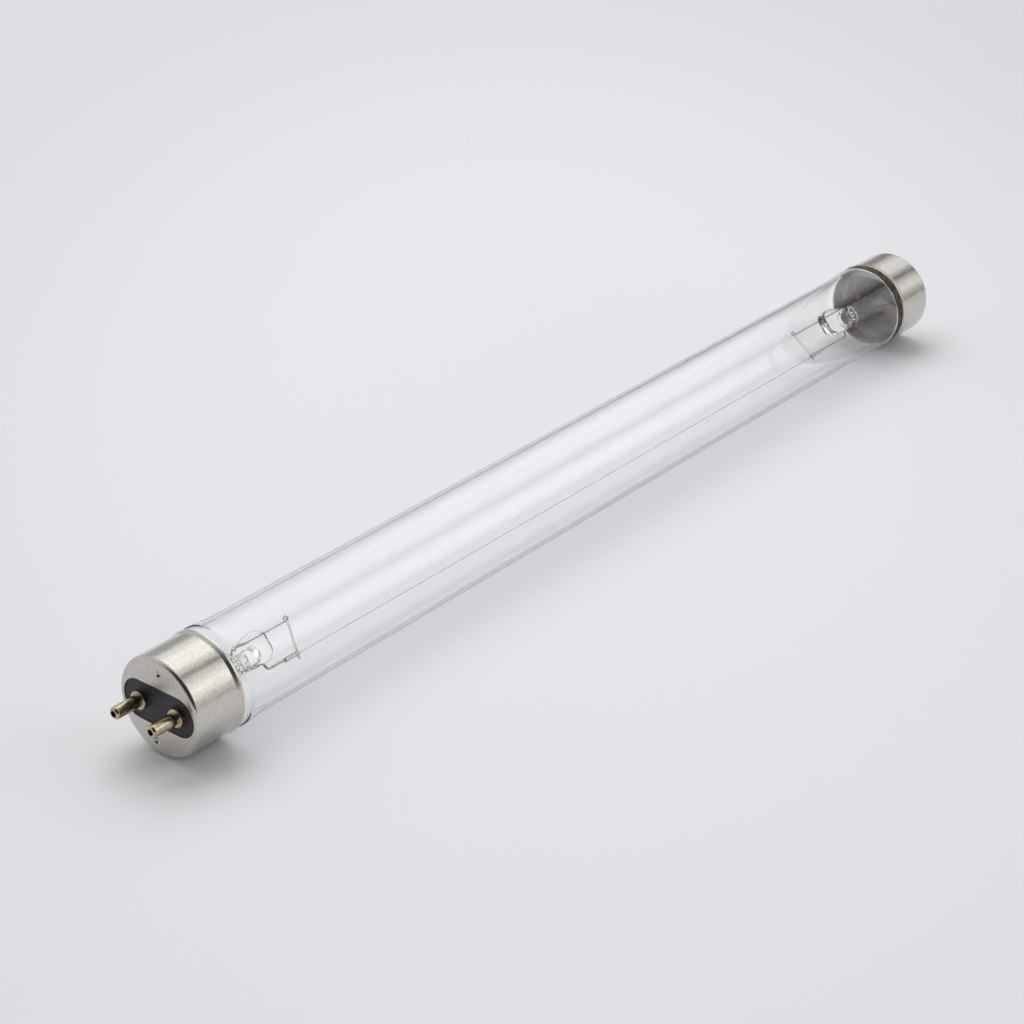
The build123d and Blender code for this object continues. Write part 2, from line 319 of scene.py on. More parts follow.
def geometry_tree(name, inputs):
    """An empty geometry tree with named inputs; returns it, its helper and its group nodes."""
    tree = bpy.data.node_groups.new(name, "GeometryNodeTree")
    tree.is_modifier = True
    tree.interface.new_socket("Geometry", in_out="INPUT", socket_type="NodeSocketGeometry")
    for label, kind in inputs:
        tree.interface.new_socket(label, in_out="INPUT", socket_type=kind)
    tree.interface.new_socket("Geometry", in_out="OUTPUT", socket_type="NodeSocketGeometry")
    t = Tree(tree)
    return tree, t, t.add("NodeGroupInput"), t.add("NodeGroupOutput")


def set_inputs(modifier, **values):
    """Sets a geometry modifier's inputs by their sockets' identifiers."""
    for item in modifier.node_group.interface.items_tree:
        key = item.name.lower().replace(" ", "_")
        if item.item_type == "SOCKET" and item.in_out == "INPUT" and key in values:
            modifier[item.identifier] = values[key]


def finish_tree(t, geometry, given, out):
    """Closes a geometry tree: smooth faces, real geometry and its material."""
    smooth = t.add("GeometryNodeSetShadeSmooth")
    real = t.add("GeometryNodeRealizeInstances")
    paint = t.add("GeometryNodeSetMaterial")
    t.link(geometry, smooth.inputs["Geometry"])
    t.link(smooth.outputs["Geometry"], real.inputs["Geometry"])
    t.link(real.outputs["Geometry"], paint.inputs["Geometry"])
    t.link(given.outputs["Material"], paint.inputs["Material"])
    t.link(paint.outputs["Geometry"], out.inputs["Geometry"])


def wire_tree():
    """Round wire along a path, with its corners bent to a radius."""
    tree, t, given, out = geometry_tree("bent_wire", [
        ("Diameter", "NodeSocketFloat"),
        ("Bend Radius", "NodeSocketFloat"),
        ("Sides", "NodeSocketInt"),
        ("Material", "NodeSocketMaterial"),
    ])
    bend = t.add("GeometryNodeFilletCurve", mode="POLY", in_Count=BEND_STEPS, in_Limit_Radius=True)
    half = t.add("ShaderNodeMath", operation="MULTIPLY", in_1=0.5)
    ring = t.add("GeometryNodeCurvePrimitiveCircle")
    sweep = t.add("GeometryNodeCurveToMesh", in_Fill_Caps=True)
    t.link(given.outputs["Geometry"], bend.inputs["Curve"])
    t.link(given.outputs["Bend Radius"], bend.inputs["Radius"])
    t.link(given.outputs["Diameter"], half.inputs[0])
    t.link(half.outputs[0], ring.inputs["Radius"])
    t.link(given.outputs["Sides"], ring.inputs["Resolution"])
    t.link(bend.outputs["Curve"], sweep.inputs["Curve"])
    t.link(ring.outputs["Curve"], sweep.inputs["Profile Curve"])
    finish_tree(t, sweep.outputs["Mesh"], given, out)
    return tree


def coil_tree():
    """A coil whose strand is itself a fine coil of wire, wound about Z."""
    tree, t, given, out = geometry_tree("coiled_coil", [
        ("Turns", "NodeSocketFloat"),
        ("Length", "NodeSocketFloat"),
        ("Radius", "NodeSocketFloat"),
        ("Fine Turns", "NodeSocketInt"),
        ("Fine Radius", "NodeSocketFloat"),
        ("Wire Radius", "NodeSocketFloat"),
        ("Material", "NodeSocketMaterial"),
    ])
    helix = t.add("GeometryNodeCurveSpiral", in_Resolution=COIL_STEPS)
    steps = t.add("ShaderNodeMath", operation="MULTIPLY", in_1=FINE_STEPS)
    sample = t.add("GeometryNodeResampleCurve", mode="COUNT")
    t.link(given.outputs["Turns"], helix.inputs["Rotations"])
    t.link(given.outputs["Length"], helix.inputs["Height"])
    t.link(given.outputs["Radius"], helix.inputs["Start Radius"])
    t.link(given.outputs["Radius"], helix.inputs["End Radius"])
    t.link(helix.outputs["Curve"], sample.inputs["Curve"])
    t.link(given.outputs["Fine Turns"], steps.inputs[0])
    t.link(steps.outputs[0], sample.inputs["Count"])
    index = t.add("GeometryNodeInputIndex")
    angle = t.add("ShaderNodeMath", operation="MULTIPLY", in_1=2 * pi / FINE_STEPS)
    normal = t.add("GeometryNodeInputNormal")
    tangent = t.add("GeometryNodeInputTangent")
    turn = t.add("ShaderNodeVectorRotate", rotation_type="AXIS_ANGLE")
    reach = t.add("ShaderNodeVectorMath", operation="SCALE")
    move = t.add("GeometryNodeSetPosition")
    t.link(index.outputs[0], angle.inputs[0])
    t.link(normal.outputs[0], turn.inputs["Vector"])
    t.link(tangent.outputs[0], turn.inputs["Axis"])
    t.link(angle.outputs[0], turn.inputs["Angle"])
    t.link(turn.outputs[0], reach.inputs[0])
    t.link(given.outputs["Fine Radius"], reach.inputs["Scale"])
    t.link(sample.outputs["Curve"], move.inputs["Geometry"])
    t.link(reach.outputs[0], move.inputs["Offset"])
    ring = t.add("GeometryNodeCurvePrimitiveCircle", in_Resolution=FINE_WIRE_SIDES)
    sweep = t.add("GeometryNodeCurveToMesh", in_Fill_Caps=True)
    t.link(given.outputs["Wire Radius"], ring.inputs["Radius"])
    t.link(move.outputs["Geometry"], sweep.inputs["Curve"])
    t.link(ring.outputs["Curve"], sweep.inputs["Profile Curve"])
    finish_tree(t, sweep.outputs["Mesh"], given, out)
    return tree


# Shader groups that several finishes share

def shader_group(name, inputs, outputs):
    """An empty shader group with named sockets; returns its helper and its two group nodes."""
    group = bpy.data.node_groups.new(name, "ShaderNodeTree")
    for label, kind, value in inputs:
        socket = group.interface.new_socket(label, in_out="INPUT", socket_type=kind)
        if value is not None:
            socket.default_value = value
    for label, kind in outputs:
        group.interface.new_socket(label, in_out="OUTPUT", socket_type=kind)
    t = Tree(group)
    return group, t, t.add("NodeGroupInput"), t.add("NodeGroupOutput")


def drift_group():
    """Slow clouds between two tones, for handling marks and uneven colour."""
    group, t, given, out = shader_group(
        "tone_drift",
        [
            ("Vector", "NodeSocketVector", None),
            ("Scale", "NodeSocketFloat", 200.0),
            ("Low", "NodeSocketFloat", 0.35),
            ("High", "NodeSocketFloat", 0.65),
            ("Dark", "NodeSocketColor", None),
            ("Light", "NodeSocketColor", None),
        ],
        [("Color", "NodeSocketColor"), ("Mask", "NodeSocketFloat")],
    )
    clouds = t.add("ShaderNodeTexNoise", in_Detail=4.0, in_Roughness=0.6)
    spread = t.add("ShaderNodeMapRange", interpolation_type="SMOOTHSTEP")
    tone = t.add("ShaderNodeMix", data_type="RGBA")
    t.link(given.outputs["Vector"], clouds.inputs["Vector"])
    t.link(given.outputs["Scale"], clouds.inputs["Scale"])
    t.link(clouds.outputs["Fac"], spread.inputs["Value"])
    t.link(given.outputs["Low"], spread.inputs["From Min"])
    t.link(given.outputs["High"], spread.inputs["From Max"])
    t.link(spread.outputs["Result"], tone.inputs["Factor"])
    t.link(given.outputs["Dark"], tone.inputs["A"])
    t.link(given.outputs["Light"], tone.inputs["B"])
    t.link(tone.outputs["Result"], out.inputs["Color"])
    t.link(spread.outputs["Result"], out.inputs["Mask"])
    return group


def grain_group():
    """Fine worked grain: a height for bump and a roughness between two values."""
    group, t, given, out = shader_group(
        "worked_grain",
        [
            ("Vector", "NodeSocketVector", None),
            ("Scale", "NodeSocketFloat", 1000.0),
            ("Smooth", "NodeSocketFloat", 0.2),
            ("Rough", "NodeSocketFloat", 0.4),
        ],
        [("Height", "NodeSocketFloat"), ("Roughness", "NodeSocketFloat")],
    )
    grain = t.add("ShaderNodeTexNoise", in_Detail=5.0, in_Roughness=0.65)
    spread = t.add("ShaderNodeMapRange", in_From_Min=0.3, in_From_Max=0.7)
    t.link(given.outputs["Vector"], grain.inputs["Vector"])
    t.link(given.outputs["Scale"], grain.inputs["Scale"])
    t.link(grain.outputs["Fac"], out.inputs["Height"])
    t.link(grain.outputs["Fac"], spread.inputs["Value"])
    t.link(given.outputs["Smooth"], spread.inputs["To Min"])
    t.link(given.outputs["Rough"], spread.inputs["To Max"])
    t.link(spread.outputs["Result"], out.inputs["Roughness"])
    return group


def inside_group():
    """A mask of what lies within a radius of the lamp's axis, or of a pair of axes beside it."""
    group, t, given, out = shader_group(
        "hollow_inside",
        [
            ("Vector", "NodeSocketVector", None),
            ("Beside", "NodeSocketFloat", 0.0),
            ("Radius", "NodeSocketFloat", 0.01),
            ("Depth", "NodeSocketFloat", 1.0),
            ("Fade", "NodeSocketFloat", 0.0001),
        ],
        [("Mask", "NodeSocketFloat")],
    )
    split = t.add("ShaderNodeSeparateXYZ")
    either_side = t.add("ShaderNodeMath", operation="ABSOLUTE")
    either_end = t.add("ShaderNodeMath", operation="ABSOLUTE")
    from_axis = t.add("ShaderNodeMath", operation="SUBTRACT")
    flat = t.add("ShaderNodeCombineXYZ")
    reach = t.add("ShaderNodeVectorMath", operation="LENGTH")
    t.link(given.outputs["Vector"], split.inputs[0])
    t.link(split.outputs["X"], either_end.inputs[0])
    t.link(split.outputs["Y"], either_side.inputs[0])
    t.link(either_side.outputs[0], from_axis.inputs[0])
    t.link(given.outputs["Beside"], from_axis.inputs[1])
    t.link(from_axis.outputs[0], flat.inputs["Y"])
    t.link(split.outputs["Z"], flat.inputs["Z"])
    t.link(flat.outputs[0], reach.inputs[0])
    both = t.add("ShaderNodeMath", operation="MULTIPLY")
    limits = ((reach.outputs["Value"], "Radius"), (either_end.outputs[0], "Depth"))
    for k, (measure, limit) in enumerate(limits):
        edge = t.add("ShaderNodeMath", operation="ADD")
        within = t.add("ShaderNodeMapRange", in_To_Min=1.0, in_To_Max=0.0)
        t.link(given.outputs[limit], edge.inputs[0])
        t.link(given.outputs["Fade"], edge.inputs[1])
        t.link(measure, within.inputs["Value"])
        t.link(given.outputs[limit], within.inputs["From Min"])
        t.link(edge.outputs[0], within.inputs["From Max"])
        t.link(within.outputs["Result"], both.inputs[k])
    t.link(both.outputs[0], out.inputs["Mask"])
    return group


# Finishes

# How much the grain runs out along each axis
EVEN = (1, 1, 1)
ALONG_WIRE = (0.3, 1, 1)
ALONG_TUBE = (0.15, 1, 1)

# Relief, in metres, and the glass, with the facing at which its painted edge shade is full
GRAIN_DEPTH = 0.05 * MM
WAVE_DEPTH = 0.2 * MM
GLASS_DRIFT = 90.0
GLASS_GRAIN = 120.0
GLASS_ROUGH = 0.015
GLASS_EDGE_SHADE_FULL = 0.95

# Flat faces, by how squarely they face along the lamp
FLAT_FROM = 0.62
FLAT_TO = 0.92
SATIN_ROUGH = 0.36

# Insides and backs, and the painted shade in the pins' bores, in millimetres
INSIDE_FADE = 0.06
CAP_BORE_MARGIN = 0.04
PIN_BORE_SHADE_MARGIN = 0.01
BAND_HALF_WIDTH = 3.0
BAND_FADE = 1.0


def new_finish(name):
    """A material with its helper and its main shader."""
    material = bpy.data.materials.new(name)
    material.use_nodes = True
    t = Tree(material.node_tree)
    return material, t, material.node_tree.nodes["Principled BSDF"]


def stretched_coordinates(t, stretch):
    """Object coordinates, stretched for a grain with a direction."""
    place = t.add("ShaderNodeTexCoord")
    mapping = t.add("ShaderNodeMapping", in_Scale=stretch)
    t.link(place.outputs["Object"], mapping.inputs["Vector"])
    return mapping.outputs["Vector"]


def worked_finish(
    name, groups, dark, light, metallic, smooth, rough, grain, drift, bump, stretch=EVEN,
):
    """A finish with clouded colour, and a grain that drives both roughness and bump."""
    material, t, shader = new_finish(name)
    shader.inputs["Metallic"].default_value = metallic
    vector = stretched_coordinates(t, stretch)
    even = stretched_coordinates(t, EVEN)
    tone = t.add(
        "ShaderNodeGroup", node_tree=groups["drift"],
        in_Scale=drift, in_Dark=(*dark, 1), in_Light=(*light, 1),
    )
    worked = t.add(
        "ShaderNodeGroup", node_tree=groups["grain"],
        in_Scale=grain, in_Smooth=smooth, in_Rough=rough,
    )
    relief = t.add("ShaderNodeBump", in_Strength=bump, in_Distance=GRAIN_DEPTH)
    t.link(even, tone.inputs["Vector"])
    t.link(vector, worked.inputs["Vector"])
    t.link(tone.outputs["Color"], shader.inputs["Base Color"])
    t.link(worked.outputs["Roughness"], shader.inputs["Roughness"])
    t.link(worked.outputs["Height"], relief.inputs["Height"])
    t.link(relief.outputs["Normal"], shader.inputs["Normal"])
    return material


def satin_flats(material, rough):
    """Roughens what faces along the lamp, such as the flat face of a cap."""
    t = Tree(material.node_tree)
    shader = material.node_tree.nodes["Principled BSDF"]
    drawn_rough = shader.inputs["Roughness"].links[0].from_socket
    place = t.add("ShaderNodeTexCoord")
    split = t.add("ShaderNodeSeparateXYZ")
    either_end = t.add("ShaderNodeMath", operation="ABSOLUTE")
    flat = t.ease(FLAT_FROM, FLAT_TO)
    gloss = t.add("ShaderNodeMix", data_type="FLOAT", in_B=rough)
    t.link(place.outputs["Normal"], split.inputs[0])
    t.link(split.outputs["X"], either_end.inputs[0])
    t.link(either_end.outputs[0], flat.inputs["Value"])
    t.link(flat.outputs["Result"], gloss.inputs["Factor"])
    t.link(drawn_rough, gloss.inputs["A"])
    t.link(gloss.outputs["Result"], shader.inputs["Roughness"])


def brown_band_between_pins(material, colour):
    """Browns the middle of a plate's lighter back, between its pins."""
    t = Tree(material.node_tree)
    back = material.node_tree.nodes["inside colour"]
    place = t.add("ShaderNodeTexCoord")
    split = t.add("ShaderNodeSeparateXYZ")
    either_side = t.add("ShaderNodeMath", operation="ABSOLUTE")
    band = t.ease(BAND_HALF_WIDTH * MM, (BAND_HALF_WIDTH + BAND_FADE) * MM)
    plain = back.inputs["B"].default_value
    tone = t.add("ShaderNodeMix", data_type="RGBA", in_A=(*colour, 1), in_B=plain)
    t.link(place.outputs["Object"], split.inputs[0])
    t.link(split.outputs["Z"], either_side.inputs[0])
    t.link(either_side.outputs[0], band.inputs["Value"])
    t.link(band.outputs["Result"], tone.inputs["Factor"])
    t.link(tone.outputs["Result"], back.inputs["B"])
    return material


def inside_finish_or_painted_shade(material, groups, beside, radius, depth, colour, rough, metallic):
    """Gives the inside or the back of a piece its own duller finish, or a near-black painted shade,
    as in the pins' bores.
    """
    t = Tree(material.node_tree)
    shader = material.node_tree.nodes["Principled BSDF"]
    outside_colour = shader.inputs["Base Color"].links[0].from_socket
    outside_rough = shader.inputs["Roughness"].links[0].from_socket
    place = t.add("ShaderNodeTexCoord")
    inside = t.add(
        "ShaderNodeGroup", node_tree=groups["inside"],
        in_Beside=beside * MM, in_Radius=radius * MM, in_Depth=depth * MM, in_Fade=INSIDE_FADE * MM,
    )
    tone = t.add("ShaderNodeMix", data_type="RGBA", in_B=(*colour, 1))
    tone.name = "inside colour"
    gloss = t.add("ShaderNodeMix", data_type="FLOAT", in_B=rough)
    t.link(place.outputs["Object"], inside.inputs["Vector"])
    t.link(inside.outputs["Mask"], tone.inputs["Factor"])
    t.link(inside.outputs["Mask"], gloss.inputs["Factor"])
    t.link(outside_colour, tone.inputs["A"])
    t.link(outside_rough, gloss.inputs["A"])
    t.link(tone.outputs["Result"], shader.inputs["Base Color"])
    t.link(gloss.outputs["Result"], shader.inputs["Roughness"])
    plain_metal = shader.inputs["Metallic"].default_value
    if plain_metal != metallic:
        bare = t.add("ShaderNodeMix", data_type="FLOAT", in_A=plain_metal, in_B=metallic)
        t.link(inside.outputs["Mask"], bare.inputs["Factor"])
        t.link(bare.outputs["Result"], shader.inputs["Metallic"])
    return material


def glass_finish(name, groups, ior, tint, edge, edge_shade_start, let_through, waviness):
    """Clear drawn glass, slightly wavy, whose colour darkens edge on as painted shade, and whose
    shadow lets light through.
    """
    material, t, shader = new_finish(name)
    shader.inputs["Transmission Weight"].default_value = 1.0
    shader.inputs["IOR"].default_value = ior
    even = stretched_coordinates(t, EVEN)
    along = stretched_coordinates(t, ALONG_TUBE)
    tone = t.add(
        "ShaderNodeGroup", node_tree=groups["drift"],
        in_Scale=GLASS_DRIFT, in_Dark=(*tint, 1), in_Light=(1, 1, 1, 1),
    )
    worked = t.add(
        "ShaderNodeGroup", node_tree=groups["grain"],
        in_Scale=GLASS_GRAIN, in_Smooth=0.0, in_Rough=GLASS_ROUGH,
    )
    relief = t.add("ShaderNodeBump", in_Strength=waviness, in_Distance=WAVE_DEPTH)
    grazing = t.add("ShaderNodeLayerWeight", in_Blend=0.5)
    # Painted shade: the base colour darkens towards the edge colour where the glass is seen edge
    # on.
    edge_on_shade = t.ease(edge_shade_start, GLASS_EDGE_SHADE_FULL)
    colour = t.add("ShaderNodeMix", data_type="RGBA", in_B=(*edge, 1))
    t.link(even, tone.inputs["Vector"])
    t.link(along, worked.inputs["Vector"])
    t.link(grazing.outputs["Facing"], edge_on_shade.inputs["Value"])
    t.link(edge_on_shade.outputs["Result"], colour.inputs["Factor"])
    t.link(tone.outputs["Color"], colour.inputs["A"])
    t.link(colour.outputs["Result"], shader.inputs["Base Color"])
    t.link(worked.outputs["Roughness"], shader.inputs["Roughness"])
    t.link(worked.outputs["Height"], relief.inputs["Height"])
    t.link(relief.outputs["Normal"], shader.inputs["Normal"])
    clear = t.add("ShaderNodeBsdfTransparent", in_Color=(*let_through, 1))
    path = t.add("ShaderNodeLightPath")
    choose = t.add("ShaderNodeMixShader")
    output = material.node_tree.nodes["Material Output"]
    t.link(path.outputs["Is Shadow Ray"], choose.inputs[0])
    t.link(shader.outputs[0], choose.inputs[1])
    t.link(clear.outputs[0], choose.inputs[2])
    t.link(choose.outputs[0], output.inputs["Surface"])
    return material


def make_finishes():
    """Every finish of the lamp, by the record's slot names."""
    groups = {"drift": drift_group(), "grain": grain_group(), "inside": inside_group()}
    brass = worked_finish(
        "turned_pin_brass", groups, dark=(0.42, 0.34, 0.22), light=(0.62, 0.53, 0.37),
        metallic=1.0, smooth=0.10, rough=0.22,
        grain=1600.0, drift=700.0, bump=0.06, stretch=(3.0, 0.4, 0.4),
    )
    aluminium = worked_finish(
        "satin_cap_aluminium", groups, dark=(0.564, 0.542, 0.494), light=(0.652, 0.630, 0.580),
        metallic=1.0, smooth=0.07, rough=0.22,
        grain=1100.0, drift=1700.0, bump=0.32, stretch=(0.4, 1, 1),
    )
    satin_flats(aluminium, SATIN_ROUGH)
    board = worked_finish(
        "black_insulator_board", groups, dark=(0.008, 0.008, 0.010), light=(0.018, 0.018, 0.021),
        metallic=0.0, smooth=0.38, rough=0.62,
        grain=1500.0, drift=500.0, bump=0.3, stretch=(1, 0.3, 1),
    )
    plate = inside_finish_or_painted_shade(
        board, groups, beside=0.0, radius=LIP_R, depth=HALF_LENGTH - PLATE_BACK,
        colour=(0.62, 0.50, 0.43), rough=0.7, metallic=0.0,
    )
    return {
        # The edge colours of both glasses are painted shade, darkening each glass where it is seen
        # edge on.
        "tube_glass": glass_finish(
            "clear_tube_glass", groups, ior=1.48, tint=(0.985, 0.99, 0.99),
            edge=(0.20, 0.20, 0.22), edge_shade_start=0.70,
            let_through=(0.85, 0.85, 0.86), waviness=0.02,
        ),
        "stem_glass": glass_finish(
            "clear_stem_glass", groups, ior=1.36, tint=(0.99, 0.985, 0.98),
            edge=(0.40, 0.365, 0.34), edge_shade_start=0.42,
            let_through=(0.98, 0.98, 0.98), waviness=0.02,
        ),
        "cap_aluminium": inside_finish_or_painted_shade(
            aluminium, groups, beside=0.0, radius=CAP_BORE_R + CAP_BORE_MARGIN,
            depth=HALF_LENGTH - CAP_SHEET * 2, colour=(0.78, 0.66, 0.58), rough=0.45, metallic=0.4,
        ),
        # The pins' bores are painted near black: painted shade inside the holes.
        "pin_brass": inside_finish_or_painted_shade(
            brass, groups, beside=PIN_OFFSET, radius=PIN_BORE_R + PIN_BORE_SHADE_MARGIN,
            depth=HALF_LENGTH * 2, colour=(0.02, 0.016, 0.012), rough=0.6, metallic=0.0,
        ),
        # A plain dark brown band across the middle of the plate's back, between the pins.
        "black_insulator": brown_band_between_pins(plate, (0.034, 0.022, 0.013)),
        "basing_cement": worked_finish(
            "brown_basing_cement", groups, dark=(0.062, 0.044, 0.028), light=(0.180, 0.135, 0.090),
            metallic=0.0, smooth=0.55, rough=0.9, grain=1800.0, drift=600.0, bump=0.6,
        ),
        "copper_lead": worked_finish(
            "tarnished_copper_lead", groups, dark=(0.36, 0.29, 0.25), light=(0.52, 0.44, 0.38),
            metallic=1.0, smooth=0.2, rough=0.4,
            grain=2500.0, drift=900.0, bump=0.03, stretch=ALONG_WIRE,
        ),
        "seal_wire": worked_finish(
            "reddened_seal_wire", groups, dark=(0.50, 0.38, 0.32), light=(0.68, 0.57, 0.50),
            metallic=0.6, smooth=0.25, rough=0.45,
            grain=2500.0, drift=1500.0, bump=0.03, stretch=ALONG_WIRE,
        ),
        "nickel_wire": worked_finish(
            "drawn_nickel", groups, dark=(0.36, 0.355, 0.35), light=(0.46, 0.455, 0.445),
            metallic=1.0, smooth=0.22, rough=0.34,
            grain=2500.0, drift=900.0, bump=0.02, stretch=ALONG_WIRE,
        ),
        "coated_tungsten": worked_finish(
            "coated_coil_wire", groups, dark=(0.88, 0.87, 0.86), light=(0.95, 0.945, 0.935),
            metallic=0.0, smooth=0.6, rough=0.9, grain=4000.0, drift=2000.0, bump=0.05,
        ),
    }


# Tube

def smoothstep(t):
    """Eases from 0 to 1."""
    return t * t * (3 - 2 * t)


def tube_line(radius, neck_radius):
    """One side of the tube's wall from the near end to the far end."""
    start = CAP_LENGTH + LIP_LAND
    peak = CAP_LENGTH + SWELL_PEAK
    shoulder = CAP_LENGTH + SWELL_RUN
    rise = radius + SWELL_HEIGHT - neck_radius
    near = [(TUBE_END_INSET, neck_radius)]
    for k in range(SWELL_STEPS + 1):
        t = k / SWELL_STEPS
        near.append((start + (peak - start) * t, neck_radius + rise * smoothstep(t)))
    for k in range(1, SWELL_STEPS + 1):
        t = k / SWELL_STEPS
        near.append((peak + (shoulder - peak) * t, radius + SWELL_HEIGHT * (1 - smoothstep(t))))
    far = [(FACE_TO_FACE - along, r) for along, r in reversed(near)]
    return near + far


def make_tube(finishes):
    """The glass tube, outer and inner wall."""
    outer = tube_line(TUBE_R, NECK_R)
    inner = tube_line(TUBE_R - TUBE_WALL, RIM_R)
    mesh = set_at_end(turned("clear_tube", outer + list(reversed(inner)), TUBE_SEGMENTS), "near")
    tube = keep("clear_tube", mesh, finishes["tube_glass"], "glass_tube")
    tube.visible_diffuse = False


# Stems

def press_outline(press_end):
    """The flat press seen in its own plane, as (along, offset) points."""
    root = Vector((NECK_END, STEM_R - PRESS_CORNER))
    crown = Vector((press_end - PRESS_CROWN_BACK, PRESS_CROWN))
    tip = Vector((press_end, PRESS_END_TOP))
    points = []
    for k in range(CROWN_STEPS + 1):
        t = k / CROWN_STEPS
        points.append(
            root * (2 * t - 1) * (t - 1) + crown * 4 * t * (1 - t) + tip * t * (2 * t - 1)
        )
    points += [
        Vector((press_end, PRESS_END_LOW)),
        Vector((press_end - PRESS_SLANT, PRESS_LOW)),
        Vector((NECK_END + NECK_TAPER / 2, PRESS_LOW)),
        Vector((NECK_END, PRESS_CORNER - STEM_R)),
    ]
    return points


def slab(outline, thickness):
    """A flat plate in the mount plane."""
    bm = bmesh.new()
    low = [bm.verts.new(mount_point(p.x, p.y, -thickness / 2)) for p in outline]
    high = [bm.verts.new(mount_point(p.x, p.y, thickness / 2)) for p in outline]
    bm.faces.new(low)
    bm.faces.new(high)
    for k in range(len(outline)):
        j = (k + 1) % len(outline)
        bm.faces.new((low[k], low[j], high[j], high[k]))
    return mesh_from(bm, "slab")


def flare_outline():
    """Half section of the flare, the neck and the solid root of the press."""
    rim_front = TUBE_END_INSET + SEAL_INSET + STEM_WALL

    def quarter(reach, drop):
        turns = [pi / 2 * k / FLARE_STEPS for k in range(FLARE_STEPS + 1)]
        return [(NECK_START - reach * cos(turn), RIM_R - drop * sin(turn)) for turn in turns]

    outer = quarter(NECK_START - rim_front, RIM_R - STEM_R)
    inner = quarter(NECK_START - rim_front + STEM_WALL, RIM_R - STEM_R + STEM_WALL)
    root = [
        (NECK_END, STEM_R),
        (NECK_END + NECK_TAPER, PRESS_THICKNESS / 2),
        (NECK_END + NECK_TAPER, 0),
        (NECK_END + FUNNEL, 0),
        (NECK_END + FUNNEL, EXHAUST_R),
        (NECK_END, STEM_R - STEM_WALL),
    ]
    return outer + root + list(reversed(inner))


def combine(base, other, operation):
    """Joins a mesh to a scratch object, or cuts it out of it; returns the tool to remove later."""
    tool = scratch_object("tool", other)
    change = base.modifiers.new(operation.lower(), "BOOLEAN")
    change.operation = operation
    change.solver = "EXACT"
    change.object = tool
    return tool


def make_stem(end, press_end, finishes):
    """Flare, neck, press with its vent, and exhaust tube, melted into one."""
    body = scratch_object("stem", turned("flare", flare_outline(), FLARE_SEGMENTS))
    exhaust_root = NECK_END + 2 * FUNNEL
    exhaust = [
        (EXHAUST_TIP, 0),
        (EXHAUST_TIP + EXHAUST_R, EXHAUST_R),
        (exhaust_root, EXHAUST_R),
        (exhaust_root, 0),
    ]
    bore_tip = EXHAUST_TIP + 2 * EXHAUST_R
    bore = [(bore_tip, 0), (bore_tip, EXHAUST_BORE_R), (VENT_AT, EXHAUST_BORE_R), (VENT_AT, 0)]
    vent_turns = [2 * pi * k / VENT_SEGMENTS for k in range(VENT_SEGMENTS)]
    vent = [
        Vector((VENT_AT + VENT_R * cos(turn), VENT_OFFSET + VENT_R * sin(turn)))
        for turn in vent_turns
    ]
    press = combine(body, slab(press_outline(press_end), PRESS_THICKNESS), "UNION")
    rounding = press.modifiers.new("rounded edges", "BEVEL")
    rounding.width = PRESS_ROUND
    rounding.segments = ROUNDING_STEPS
    rounding.limit_method = "ANGLE"
    rounding.angle_limit = ROUNDING_FROM
    tools = [
        press,
        combine(body, turned("exhaust", exhaust, EXHAUST_SEGMENTS, closed=False), "UNION"),
        combine(body, turned("bore", bore, BORE_SEGMENTS, closed=False), "DIFFERENCE"),
        combine(body, slab(vent, 3 * PRESS_THICKNESS), "DIFFERENCE"),
    ]
    melt = body.modifiers.new("melt", "REMESH")
    melt.mode = "VOXEL"
    melt.voxel_size = MELT_VOXEL
    melt.use_smooth_shade = True
    soften = body.modifiers.new("soften", "SMOOTH")
    soften.factor = MELT_SHARE
    soften.iterations = MELT_PASSES
    mesh = set_at_end(baked(body), end)
    for tool in tools:
        bpy.data.objects.remove(tool)
    stem = keep(f"{end}_stem", mesh, finishes["stem_glass"], f"{end}_glass_stem")
    stem.visible_diffuse = False


# Wires

def wire_mesh(points, diameter, bend, tree, material, sides=WIRE_SIDES):
    """A round wire along points, through the wire tree."""
    line = bpy.data.curves.new("path", "CURVE")
    line.dimensions = "3D"
    spline = line.splines.new("POLY")
    spline.points.add(len(points) - 1)
    for target, point in zip(spline.points, points):
        target.co = (*point, 1)
    holder = scratch_object("wire", line)
    modifier = holder.modifiers.new("wire", "NODES")
    modifier.node_group = tree
    set_inputs(modifier, diameter=diameter, bend_radius=bend, sides=sides, material=material)
    return baked(holder)


def hook_path(start, lead_end):
    """The upper wire: a straight run that ends in an open eye."""
    foot = lead_end + FILAMENT_LEAN
    path = [start]
    for k in range(HOOK_STEPS + 1):
        turn = HOOK_TURN * k / HOOK_STEPS
        path.append(mount_point(foot + HOOK_R * sin(turn), UPPER_OFFSET + HOOK_R * (1 - cos(turn))))
    return path


